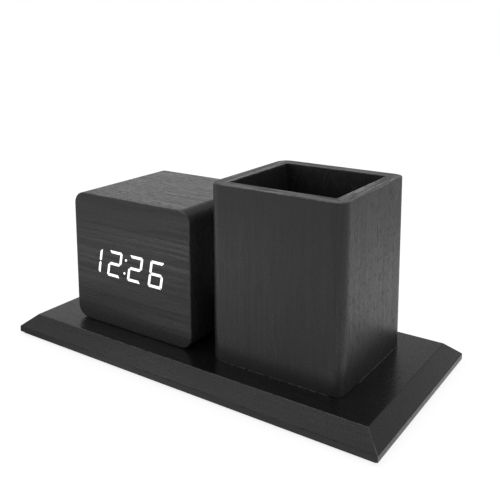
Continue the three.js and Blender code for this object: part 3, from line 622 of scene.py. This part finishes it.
def sharpEdges(bm, angle=35.0):
    return [e for e in bm.edges if len(e.link_faces) == 2 and e.calc_face_angle(0) > math.radians(angle)]


def softenEdges(bm, width, segments, wornSlot, keep):
    edges = [e for e in sharpEdges(bm) if keep(e)]
    for face in bevelEdges(bm, edges, width, segments):
        face.material_index = wornSlot


def pulledOut(bm, faces, way):
    # Extrudes the faces by way and returns the vertices of the new end.
    raised = bmesh.ops.extrude_face_region(bm, geom=faces)["geom"]
    verts = [v for v in raised if isinstance(v, bmesh.types.BMVert)]
    bmesh.ops.translate(bm, vec=way, verts=verts)
    return verts


def cutAway(bm, point, normal):
    # Removes what lies on the normal's side and closes the cut.
    geom = bm.verts[:] + bm.edges[:] + bm.faces[:]
    bmesh.ops.bisect_plane(
        bm, geom=geom, plane_co=point, plane_no=normal, dist=mergeReach, clear_outer=True
    )
    bmesh.ops.holes_fill(bm, edges=[e for e in bm.edges if e.is_boundary], sides=0)


def joined(shapes):
    whole = bmesh.new()
    for bm in shapes:
        mesh = bpy.data.meshes.new("shape")
        bm.to_mesh(mesh)
        bm.free()
        whole.from_mesh(mesh)
        bpy.data.meshes.remove(mesh)
    return whole


def cutWith(target, tool):
    cutter = asObject("cutter", tool)
    made = asObject("target", target)
    cut = made.modifiers.new("cut", "BOOLEAN")
    cut.operation = "DIFFERENCE"
    cut.solver = "EXACT"
    cut.object = cutter
    bpy.context.view_layer.update()
    result = bmesh.new()
    result.from_object(made, bpy.context.evaluated_depsgraph_get())
    bpy.data.objects.remove(made)
    bpy.data.objects.remove(cutter)
    return result


def spunShape(profile, steps, centre, axis="z"):
    # profile holds pairs of radius and height along the axis, from end to end.
    bm = bmesh.new()
    verts = [bm.verts.new((radius, 0, height)) for radius, height in profile]
    edges = [bm.edges.new(pair) for pair in zip(verts, verts[1:])]
    bmesh.ops.spin(
        bm,
        geom=verts + edges,
        cent=(0, 0, 0),
        axis=(0, 0, 1),
        dvec=(0, 0, 0),
        angle=2 * math.pi,
        steps=steps,
        use_merge=True,
        use_duplicate=False,
    )
    bmesh.ops.remove_doubles(bm, verts=bm.verts, dist=mergeReach)
    bmesh.ops.recalc_face_normals(bm, faces=bm.faces)
    turns = {
        "x": Matrix.Rotation(math.radians(90), 3, "Y"),
        "-x": Matrix.Rotation(math.radians(-90), 3, "Y"),
        "z": Matrix.Identity(3),
    }
    bmesh.ops.transform(bm, matrix=turns[axis].to_4x4(), verts=bm.verts)
    bmesh.ops.translate(bm, vec=centre, verts=bm.verts)
    return bm


# Mitred boards of the cup and the case

fit = {
    "seam": 0.02 * mm,
    "roundSteps": 11,
    "facing": 0.9,  # least share of a unit normal that points along an axis
    "mitreSlant": 0.7,
    "mitreArea": 1e-4,  # square metres; the strips of a rounded corner are smaller
}
boardSlots = {"side": 0, "worn": 1, "end": 2}


def roundedBlock(low, high, alongAxis, radius, steps):
    bm = boxShape(low, high)
    ways = {e: (e.verts[0].co - e.verts[1].co).normalized() for e in bm.edges}
    bevelEdges(bm, [e for e in bm.edges if abs(ways[e][alongAxis]) > fit["facing"]], radius, steps)
    return bm


def mitredBoard(low, high, alongAxis, sideAxis, sign, part):
    # One board of a mitred frame: a rounded block, cut by its inner plane and by the two mitre planes
    bm = roundedBlock(low, high, alongAxis, part["cornerRadius"], fit["roundSteps"])
    runAxis = 3 - alongAxis - sideAxis
    outer = high if sign > 0 else low
    inner = (low + high) / 2
    inner[sideAxis] = outer[sideAxis] - sign * part["wall"]
    inward = Vector((0, 0, 0))
    inward[sideAxis] = -sign
    cutAway(bm, inner, inward)
    for end, corner in ((1, high), (-1, low)):
        point = (low + high) / 2
        point[sideAxis] = outer[sideAxis]
        point[runAxis] = corner[runAxis] - end * fit["seam"]
        normal = Vector((0, 0, 0))
        normal[runAxis] = end
        normal[sideAxis] = -sign
        cutAway(bm, point, normal.normalized())
    bm.normal_update()
    return bm


def isMitre(face, firstAxis, secondAxis):
    slant = min(abs(face.normal[firstAxis]), abs(face.normal[secondAxis]))
    return slant > fit["mitreSlant"] and face.calc_area() > fit["mitreArea"]


def makeBoards(boards, alongAxis, part, isEnd):
    # Each board is a node's name, the axis (0 to 2 for x to z) and the sign of its side, and its films.
    low, high = span(*[board[0] for board in boards])
    flatAxes = [axis for axis in range(3) if axis != alongAxis]
    for name, sideAxis, sign, films in boards:
        bm = mitredBoard(low, high, alongAxis, sideAxis, sign, part)
        mitres = {f for f in bm.faces if isMitre(f, *flatAxes)}
        softenEdges(
            bm,
            part["edgeRound"],
            part["edgeSteps"],
            boardSlots["worn"],
            keep=lambda e: not any(f in mitres for f in e.link_faces),
        )
        bm.normal_update()
        for face in bm.faces:
            if isEnd(face):
                face.material_index = boardSlots["end"]
        newPiece(name + "_film", bm, films, replaced=[name])


# Base board

base = {
    "edgeHeight": 3.3 * mm,
    "bevelAtEnds": 8.1 * mm,
    "bevelAtSides": 7.5 * mm,
    "edgeRound": 0.3 * mm,
    "edgeSteps": 3,
    "sharpAngle": 20.0,
    "upperFrom": 1 * mm,
    "leanLeast": 0.1,
    "headHole": 4.2 * mm,
    "headDepth": 4 * mm,
    "shaftHole": 2.15 * mm,
    "overrun": 1 * mm,
    "holeSteps": 48,
}
baseSlots = {"film": 0, "worn": 1, "raw": 2, "dark": 3, "paint": 4}
baseFilms = [filmBase, filmBaseWorn, rawBoard, filmBaseDark, edgePaint]
baseScrews = ["clock_screw_1", "clock_screw_2", "cup_screw_1", "cup_screw_2"]


def screwHoles(low, high):
    # A wide hole for the head and a narrow one for the shank, from below
    shapes = []
    for name in baseScrews:
        middle = middleOf(name)
        profile = [
            (0.0, -base["overrun"]),
            (base["headHole"], -base["overrun"]),
            (base["headHole"], base["headDepth"]),
            (base["shaftHole"], base["headDepth"]),
            (base["shaftHole"], high.z - low.z + base["overrun"]),
            (0.0, high.z - low.z + base["overrun"]),
        ]
        shapes.append(spunShape(profile, base["holeSteps"], Vector((middle.x, middle.y, low.z))))
    holes = joined(shapes)
    for face in holes.faces:
        face.material_index = baseSlots["raw"]
    return holes


def arrisFilm(face, foot, bevelFoot):
    # Painted at the bottom, rubbed at the corners and along the upper sides, dark at the foot of the bevel
    height = face.calc_center_median().z
    upper = height > bevelFoot + base["upperFrom"]
    onSide = abs(face.normal.y) > base["leanLeast"]
    onCorner = onSide and abs(face.normal.x) > base["leanLeast"]
    if height < foot + 2 * base["edgeRound"]:
        return baseSlots["paint"]
    if onCorner or upper and onSide:
        return baseSlots["worn"]
    return baseSlots["film"] if upper else baseSlots["dark"]


def makeBase():
    low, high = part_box("base_board")
    size = high - low
    bevelFoot = low.z + base["edgeHeight"]
    bm = boxShape(low, Vector((high.x, high.y, bevelFoot)))
    top = max(bm.faces, key=lambda f: f.calc_center_median().z)
    plateau = pulledOut(bm, [top], (0, 0, high.z - bevelFoot))
    bmesh.ops.delete(bm, geom=[top], context="FACES_ONLY")
    narrowed = (1 - 2 * base["bevelAtEnds"] / size.x, 1 - 2 * base["bevelAtSides"] / size.y, 1)
    bmesh.ops.scale(bm, vec=narrowed, verts=plateau)
    for face in bevelEdges(bm, sharpEdges(bm, base["sharpAngle"]), base["edgeRound"], base["edgeSteps"]):
        face.material_index = arrisFilm(face, low.z, bevelFoot)
    cut = cutWith(bm, screwHoles(low, high))
    newPiece("base_board_film", cut, baseFilms, replaced=["base_board"])


# Cup

cupWalls = ["cup_wall_back", "cup_wall_front", "cup_wall_left", "cup_wall_right"]
cup = {
    "wall": 7.7 * mm,
    "cornerRadius": 6.4 * mm,
    "edgeRound": 0.35 * mm,
    "edgeSteps": 3,
    "rimFacing": 0.95,
}


def isRim(face):
    return face.normal.z > cup["rimFacing"] and face.material_index == boardSlots["side"]


def makeCup():
    boards = [
        ("cup_wall_back", 1, 1, [filmUpright, filmUprightWorn, filmRimLengthwise]),
        ("cup_wall_front", 1, -1, [filmUprightCalm, filmUprightWorn, filmRimLengthwise]),
        ("cup_wall_left", 0, -1, [filmUprightCalm, filmUprightWorn, filmRimCrosswise]),
        ("cup_wall_right", 0, 1, [filmUpright, filmUprightWorn, filmRimCrosswise]),
    ]
    makeBoards(boards, 2, cup, isRim)


# Glue that came out at the cup's foot

glue = {"width": 0.2 * mm, "startInset": 13 * mm}


def makeBead(name, start, out, run, material):
    # A three-sided bead from start along run, as wide as out and as high
    bm = bmesh.new()
    up = Vector((0, 0, out.length))
    section = [bm.verts.new(corner) for corner in (start, start + out, start + up)]
    pulledOut(bm, [bm.faces.new(section)], run)
    newPiece(name, bm, [material])


def makeGlueLines():
    low, high = span(*cupWalls)
    inset = cup["cornerRadius"]
    gap = fit["seam"]
    rightStart = Vector((high.x + gap, low.y + inset + glue["startInset"], low.z + gap))
    rightRun = Vector((0, high.y - inset - rightStart.y, 0))
    frontStart = Vector((low.x + inset, low.y - gap, low.z + gap))
    frontRun = Vector((high.x - inset - frontStart.x, 0, 0))
    makeBead("cup_glue_right", rightStart, Vector((glue["width"], 0, 0)), rightRun, glueBead)
    makeBead("cup_glue_front", frontStart, Vector((0, -glue["width"], 0)), frontRun, glueTraces)


# Clock case

case = {"wall": 5 * mm, "cornerRadius": 7.2 * mm, "edgeRound": 0.2 * mm, "edgeSteps": 2}


def isCutEnd(face):
    return abs(face.normal.y) > fit["facing"]


def makeCase():
    films = [filmWrapped, filmWrappedWornAndHighlight, edgePaint]
    boards = [
        ("case_top", 2, 1, films),
        ("case_bottom", 2, -1, films),
        ("case_left", 0, -1, films),
        ("case_right", 0, 1, films),
    ]
    makeBoards(boards, 1, case, isCutEnd)


# Front film with a window for each lit segment

faceSheet = {
    "footGap": 0.45 * mm,
    "edgeRound": 0.3 * mm,
    "edgeSteps": 3,
    "cornerSteps": 33,
    "cutterReach": 1 * mm,
    "windowMargin": 2 * mm,
}


def facesFront(face):
    return face.normal.y < -fit["facing"]


def inFront(edge):
    return any(facesFront(f) for f in edge.link_faces)


def litWindows():
    # The windows' outlines come from the CAD film: the edges between its front and the walls of its holes.
    bm = bmesh.new()
    bm.from_mesh(nodes["front_film"].data)
    bmesh.ops.remove_doubles(bm, verts=bm.verts, dist=mergeReach)
    low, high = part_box("front_film")
    middle = (low + high) / 2
    reach = (high - low) / 2 - Vector(everyWay(faceSheet["windowMargin"]))

    def onRim(edge):
        front = sum(facesFront(f) for f in edge.link_faces)
        inside = all(
            abs(v.co.x - middle.x) < reach.x and abs(v.co.z - middle.z) < reach.z for v in edge.verts
        )
        return front == 1 and inside

    bm.normal_update()
    loops = [e for e in bm.edges if onRim(e)]
    kept = {v for e in loops for v in e.verts}
    for edge in [e for e in bm.edges if e not in loops]:
        bm.edges.remove(edge)
    bmesh.ops.delete(bm, geom=[v for v in bm.verts if v not in kept], context="VERTS")
    bmesh.ops.holes_fill(bm, edges=bm.edges[:], sides=0)
    back = set(pulledOut(bm, bm.faces[:], (0, high.y - low.y + faceSheet["cutterReach"], 0)))
    front = [v for v in bm.verts if v not in back]
    bmesh.ops.translate(bm, vec=(0, -faceSheet["cutterReach"], 0), verts=front)
    bmesh.ops.recalc_face_normals(bm, faces=bm.faces)
    return bm


def makeFace():
    low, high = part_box("front_film")
    foot = Vector((0, 0, faceSheet["footGap"]))
    bm = roundedBlock(low + foot, high, 1, case["cornerRadius"], faceSheet["cornerSteps"])
    softenEdges(bm, faceSheet["edgeRound"], faceSheet["edgeSteps"], boardSlots["worn"], keep=inFront)
    cut = cutWith(bm, litWindows())
    newPiece("front_film_sheet", cut, [filmFace, filmFaceWorn], replaced=["front_film"])


makeBase()
makeCup()
makeGlueLines()
makeCase()
makeFace()
print("boards made")

dress(litGuide, *[name for name in nodes if name.startswith("light_guide")])
dress(filmUpright, "cup_floor")
print("digits lit")

# Fittings: soft-edged copies of the CAD shapes, each with its finish, rounding and slot

fittings = [
    (["back_cover", "battery_door"], plastic, 0.2 * mm, "black_plastic"),
    (["button_set", "button_up", "button_down"], glossPlastic, 0.2 * mm, "black_plastic"),
    (numbered("back_screw", 4) + baseScrews, steel, 0.1 * mm, "steel"),
    (numbered("foot_pad", 4), rubber, 0.25 * mm, "foot_rubber"),
    (["power_socket"], steel, 0.12 * mm, "steel"),
    (["buzzer"], plastic, 0.3 * mm, "black_plastic"),
    (["coin_cell"], steel, 0.3 * mm, "steel"),
    (["switch_set", "switch_up", "switch_down"], plastic, 0.12 * mm, "black_plastic"),
    (numbered("battery_contact", 4), nickel, 0.08 * mm, "steel"),
]
movingPieces = ["battery_door", "button_set", "button_up", "button_down"]  # each on a body of its name
copying = {"flatAngle": 1.0, "edgeSteps": 2}


def cadCopy(name):
    bm = bmesh.new()
    bm.from_mesh(nodes[name].data)
    bmesh.ops.remove_doubles(bm, verts=bm.verts, dist=mergeReach)
    flat = math.radians(copying["flatAngle"])
    bmesh.ops.dissolve_limit(bm, angle_limit=flat, verts=bm.verts, edges=bm.edges)
    return bm


def makeFittings():
    for names, finish, width, slot in fittings:
        for name in names:
            bm = cadCopy(name)
            bevelEdges(bm, sharpEdges(bm), width, copying["edgeSteps"])
            body = name if name in movingPieces else "root"
            newPiece(name + "_soft", bm, [finish], body, replaced=[name])


# Three AAA cells: a printed wrap with steel ends

cell = {
    "radius": 5.25 * mm,
    "length": 44.5 * mm,
    "shoulder": 43.7 * mm,
    "nub": 1.9 * mm,
    "nubRound": 0.25 * mm,
    "band": 11 * mm,
    "steelReach": 4.55 * mm,
    "steps": 48,
}
# Profiles in millimetres: radius and height at the foot, inset and depth of the wrap's head, radius and
# depth of the steel head
steelFoot = [(0.0, 0.12), (3.2, 0.12), (3.5, 0.0), (4.35, 0.0), (4.5, 0.2)]
wrapFoot = [(4.62, 0.1), (4.95, 0.1), (5.17, 0.3), (5.25, 0.65)]
wrapHead = [(0.0, 0.65), (0.08, 0.3), (0.3, 0.1), (0.63, 0.1)]
steelHead = [(4.5, 0.25), (2.4, 0.15)]
cellAxes = {"battery_1": "x", "battery_2": "-x", "battery_3": "x"}  # which way the nub points
cellSlots = {"wrap": 0, "band": 1, "steel": 2}


def cellProfile():
    radius, shoulder, nub, length = cell["radius"], cell["shoulder"], cell["nub"], cell["length"]
    profile = [(r * mm, h * mm) for r, h in steelFoot + wrapFoot]
    profile.append((radius, shoulder - cell["band"]))
    profile += [(radius - inset * mm, shoulder - depth * mm) for inset, depth in wrapHead]
    profile += [(r * mm, shoulder - depth * mm) for r, depth in steelHead]
    profile += [(nub, shoulder), (nub, length - cell["nubRound"])]
    profile += [(nub - cell["nubRound"], length), (0.0, length)]
    return profile


def cellSlot(face, start):
    centre = face.calc_center_median()
    if math.hypot(centre.y - start.y, centre.z - start.z) <= cell["steelReach"]:
        return cellSlots["steel"]
    inBand = abs(centre.x - start.x) > cell["shoulder"] - cell["band"]
    return cellSlots["band"] if inBand else cellSlots["wrap"]


def makeCells():
    for name, axis in cellAxes.items():
        low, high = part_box(name)
        middle = middleOf(name)
        start = Vector((low.x if axis == "x" else high.x, middle.y, middle.z))
        bm = spunShape(cellProfile(), cell["steps"], start, axis)
        for face in bm.faces:
            face.material_index = cellSlot(face, start)
        newPiece(name + "_cell", bm, [cellWrap, cellBand, steel], replaced=[name])


# Springs and leads: the CAD tubes made round, each with its finish, slot and steps of subdivision

wires = [
    (numbered("battery_spring", 3), nickel, "steel", 2),
    (["battery_lead_red"], redWire, "red_wire", 1),
    (["battery_lead_black"], blackWire, "black_wire", 1),
]


def makeWires():
    for names, finish, slot, levels in wires:
        for name in names:
            bm = cadCopy(name)
            made = newPiece(name + "_round", bm, [finish], sharpAngle=180.0, replaced=[name])
            made.modifiers.clear()
            smooth = made.modifiers.new("round", "SUBSURF")
            smooth.levels = levels
            smooth.render_levels = levels


dress(circuitBoard, "display_board", "main_board")
dress(ribbonCable, "ribbon_cable")
dress(rawBoard, "front_board", *numbered("corner_block", 4))
makeFittings()
makeCells()
makeWires()
print("fittings made")

# Marks on the back cover, which read from behind

marks = {
    "rise": 0.04 * mm,
    "above": 6.2 * mm,
    "arrow": 2.6 * mm,
    "arrowFlat": 0.8,
    "textHeight": 2.4 * mm,
    "sizePerHeight": 1.4,
}


def markPlace(button):
    middle = middleOf(button)
    return Vector((middle.x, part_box("back_cover")[1].y, middle.z + marks["above"]))


def makeArrow(name, button, side):
    # side is 1 for an arrow that points up and -1 for one that points down.
    half = marks["arrow"] / 2
    tall = side * half * marks["arrowFlat"]
    bm = bmesh.new()
    place = markPlace(button)
    # x runs the other way for someone who looks from behind.
    outline = [(-half, -tall), (half, -tall), (0, tall)]
    flat = [bm.verts.new((place.x - x, place.y, place.z + z)) for x, z in outline]
    pulledOut(bm, [bm.faces.new(flat)], (0, marks["rise"], 0))
    newPiece(name, bm, [mark])


def makeWord(name, button, word):
    curve = bpy.data.curves.new(name, "FONT")
    curve.body = word
    curve.align_x = "CENTER"
    curve.align_y = "CENTER"
    curve.size = marks["textHeight"] * marks["sizePerHeight"]
    curve.extrude = marks["rise"] / 2
    typed = inScene(bpy.data.objects.new(name, curve))
    bpy.context.view_layer.update()
    bm = bmesh.new()
    bm.from_mesh(typed.to_mesh())
    bpy.data.objects.remove(typed)
    turn = Matrix(((-1, 0, 0), (0, 0, 1), (0, 1, 0))).to_4x4()
    bmesh.ops.transform(bm, matrix=turn, verts=bm.verts)
    bmesh.ops.translate(bm, vec=markPlace(button) + Vector((0, marks["rise"] / 2, 0)), verts=bm.verts)
    bmesh.ops.remove_doubles(bm, verts=bm.verts, dist=mergeReach)
    newPiece(name, bm, [mark])


makeArrow("mark_up", "button_up", 1)
makeArrow("mark_down", "button_down", -1)
makeWord("mark_set", "button_set", "SET")
print("marks made")

# Floor: white to the camera, but for the shadow close to the object, with a painted shadow under the object's
# footprint

floorLook = {
    "size": 3.0,
    "tone": 0.8,
    "rough": 0.8,
    # Painted shadow: a near-black floor tone under the footprint, inset from its edge
    "paintedShadowTone": 0.02,
    "paintedShadowInset": 1.5 * mm,
    "leastGlow": 0.78,
    "glow": 0.93,
    "glowReach": 0.014,
    "fadeReach": 0.4,
    "white": 1.06,
}
# How bright the glossy film mirrors the floor: by its distance from the object, and at some spots, each with
# its centre, its reach and what it adds
mirror = {
    "left": 0.58,
    "right": 0.92,
    "leftFrom": -0.15,
    "peak": 1.03,
    "peakReach": 0.11,
    "far": 0.67,
    "farReach": 0.27,
}
mirrorSpots = [
    ((-0.125, -0.18, 0.0), 0.1, 0.7),
    ((-0.11, -0.07, 0.0), 0.07, -0.35),
    ((0.04, -0.1, 0.0), 0.1, -0.3),
]


def distanceOutside(tree, place, low, high):
    # How far a point of the floor lies outside the object's footprint
    middle = (low + high) / 2
    half = (high - low) / 2
    offset = vectorMaths(tree, "SUBTRACT", place, (middle.x, middle.y, 0))
    offset = vectorMaths(tree, "ABSOLUTE", offset)
    offset = vectorMaths(tree, "SUBTRACT", offset, (half.x, half.y, 0))
    offset = vectorMaths(tree, "MAXIMUM", offset)
    return vectorMaths(tree, "LENGTH", offset, output="Value")


def floorGlow(tree, away, clearOfPaintedShadow, rays):
    look = floorLook
    near = rangeTo(tree, away, 0.0, look["glowReach"], look["leastGlow"], look["glow"])
    # Camera rays get no glow over the painted shadow under the footprint
    near = maths(tree, "MULTIPLY", near, clearOfPaintedShadow)
    far = rangeTo(tree, away, look["glowReach"], look["fadeReach"], 0.0, 1 - look["glow"])
    share = maths(tree, "MULTIPLY", maths(tree, "ADD", near, far), rays["Is Camera Ray"])
    return maths(tree, "MAXIMUM", share, rays["Is Glossy Ray"])


def mirroredFloor(tree, place, away):
    nearby = rangeTo(tree, axesOf(tree, place)["X"], mirror["leftFrom"], 0.0, mirror["left"], mirror["right"])
    rise = rangeTo(tree, away, 0.0, mirror["peakReach"], nearby, mirror["peak"])
    drop = mirror["peak"] - mirror["far"]
    fall = rangeTo(tree, away, mirror["peakReach"], mirror["farReach"], 0.0, drop)
    seen = maths(tree, "SUBTRACT", rise, fall)
    for centre, reach, gain in mirrorSpots:
        apart = vectorMaths(tree, "DISTANCE", place, centre, "Value")
        seen = maths(tree, "ADD", seen, rangeTo(tree, apart, 0.0, reach, gain, 0.0))
    return seen


def makeFloor():
    bm = bmesh.new()
    bmesh.ops.create_grid(bm, x_segments=1, y_segments=1, size=floorLook["size"])
    floor = asObject("floor", bm)
    material, tree, shader = newMaterial("pale floor")
    shader.inputs["Roughness"].default_value = floorLook["rough"]
    shader.inputs["Specular IOR Level"].default_value = 0.0
    place = onObject(tree)
    rays = shaderNode(tree, "LightPath").outputs
    # The floor under the footprint, inset a little from its edge, is painted near-black: a painted shadow for
    # the gap under the base
    inset = Vector((floorLook["paintedShadowInset"], floorLook["paintedShadowInset"], 0))
    away = distanceOutside(tree, place, cadLow + inset, cadHigh - inset)
    clearOfPaintedShadow = maths(tree, "GREATER_THAN", away, 0.0)
    colour = mixTones(tree, clearOfPaintedShadow, grey(floorLook["paintedShadowTone"]), grey(floorLook["tone"]))
    tree.links.new(colour, shader.inputs["Base Color"])
    seen = mirroredFloor(tree, place, away)
    strength = rangeTo(tree, rays["Is Glossy Ray"], 0.0, 1.0, floorLook["white"], seen)
    glow = shaderNode(tree, "Emission", Color=grey(1.0), Strength=strength)
    share = floorGlow(tree, away, clearOfPaintedShadow, rays)
    mixed = shaderNode(tree, "MixShader", i0=share, i1=shader.outputs[0], i2=glow.outputs[0])
    tree.links.new(mixed.outputs[0], tree.nodes["Material Output"].inputs[0])
    floor.data.materials.append(material)


# Sky: even and soft for diffuse rays, a white studio for glossy ones, dimmer overhead and behind the object

sky = {
    "soft": 0.5,
    "middle": 1.11,
    "fall": (-0.02, -0.2, -1.02),
    "least": 0.15,
    "horizonLift": 0.32,
    "horizonLow": 0.15,
    "horizonHigh": 0.37,
}


def makeSky():
    world = bpy.data.worlds.new("studio")
    bpy.context.scene.world = world
    world.use_nodes = True
    tree = world.node_tree
    rays = shaderNode(tree, "LightPath").outputs
    ways = shaderNode(tree, "TexCoord").outputs["Generated"]
    fall = vectorMaths(tree, "DOT_PRODUCT", ways, sky["fall"], "Value")
    sweep = maths(tree, "ADD", fall, sky["middle"])
    sweep = maths(tree, "MAXIMUM", sweep, sky["least"])
    rise = axesOf(tree, ways)["Z"]
    lift = rangeTo(tree, rise, sky["horizonLow"], sky["horizonHigh"], sky["horizonLift"], 0.0)
    sweep = maths(tree, "ADD", sweep, lift)
    mirrored = maths(tree, "MAXIMUM", rays["Is Glossy Ray"], rays["Is Transmission Ray"])
    strength = rangeTo(tree, mirrored, 0.0, 1.0, sky["soft"], sweep)
    strength = maths(tree, "MAXIMUM", strength, rays["Is Camera Ray"])
    background = tree.nodes["Background"]
    background.inputs["Color"].default_value = grey(1.0)
    tree.links.new(strength, background.inputs["Strength"])


# Lamps and camera

lamps = {
    "overhead": {"place": (0.0, 0.1, 1.6), "size": 2.2, "power": 13.0},
    "right": {"place": (1.1, -0.1, 0.6), "size": 0.9, "power": 4.0},
    "frontLeft": {"place": (-0.7, -1.0, 0.7), "size": 0.9, "power": 3.0},
}
lampTarget = Vector((0, 0, 0.05))


def makeLamps():
    for name, lamp in lamps.items():
        data = bpy.data.lights.new(name, "AREA")
        data.size = lamp["size"]
        data.energy = lamp["power"]
        made = inScene(bpy.data.objects.new(name, data))
        made.location = lamp["place"]
        aim = lampTarget - Vector(lamp["place"])
        made.rotation_euler = aim.to_track_quat("-Z", "Y").to_euler()


camera = {
    "place": (223.59 * mm, -310.73 * mm, 185.15 * mm),
    "turn": 34.102,
    "tilt": 8.9,
    "roll": -0.141,
    "lens": 51.19,
    "shift": -0.24,
    "clipStart": 0.01,
}


def makeCamera():
    data = bpy.data.cameras.new("camera")
    data.lens = camera["lens"]
    data.shift_y = camera["shift"]
    data.clip_start = camera["clipStart"]
    made = inScene(bpy.data.objects.new("camera", data))
    turn = Matrix.Rotation(math.radians(camera["turn"]), 3, "Z")
    tilt = Matrix.Rotation(math.radians(90 - camera["tilt"]), 3, "X")
    roll = Matrix.Rotation(math.radians(camera["roll"]), 3, "Z")
    made.rotation_euler = (turn @ tilt @ roll).to_euler()
    made.location = camera["place"]
    bpy.context.scene.camera = made


makeFloor()
makeSky()
makeLamps()
makeCamera()
bpy.context.scene.view_settings.view_transform = "Standard"
print("stage set")
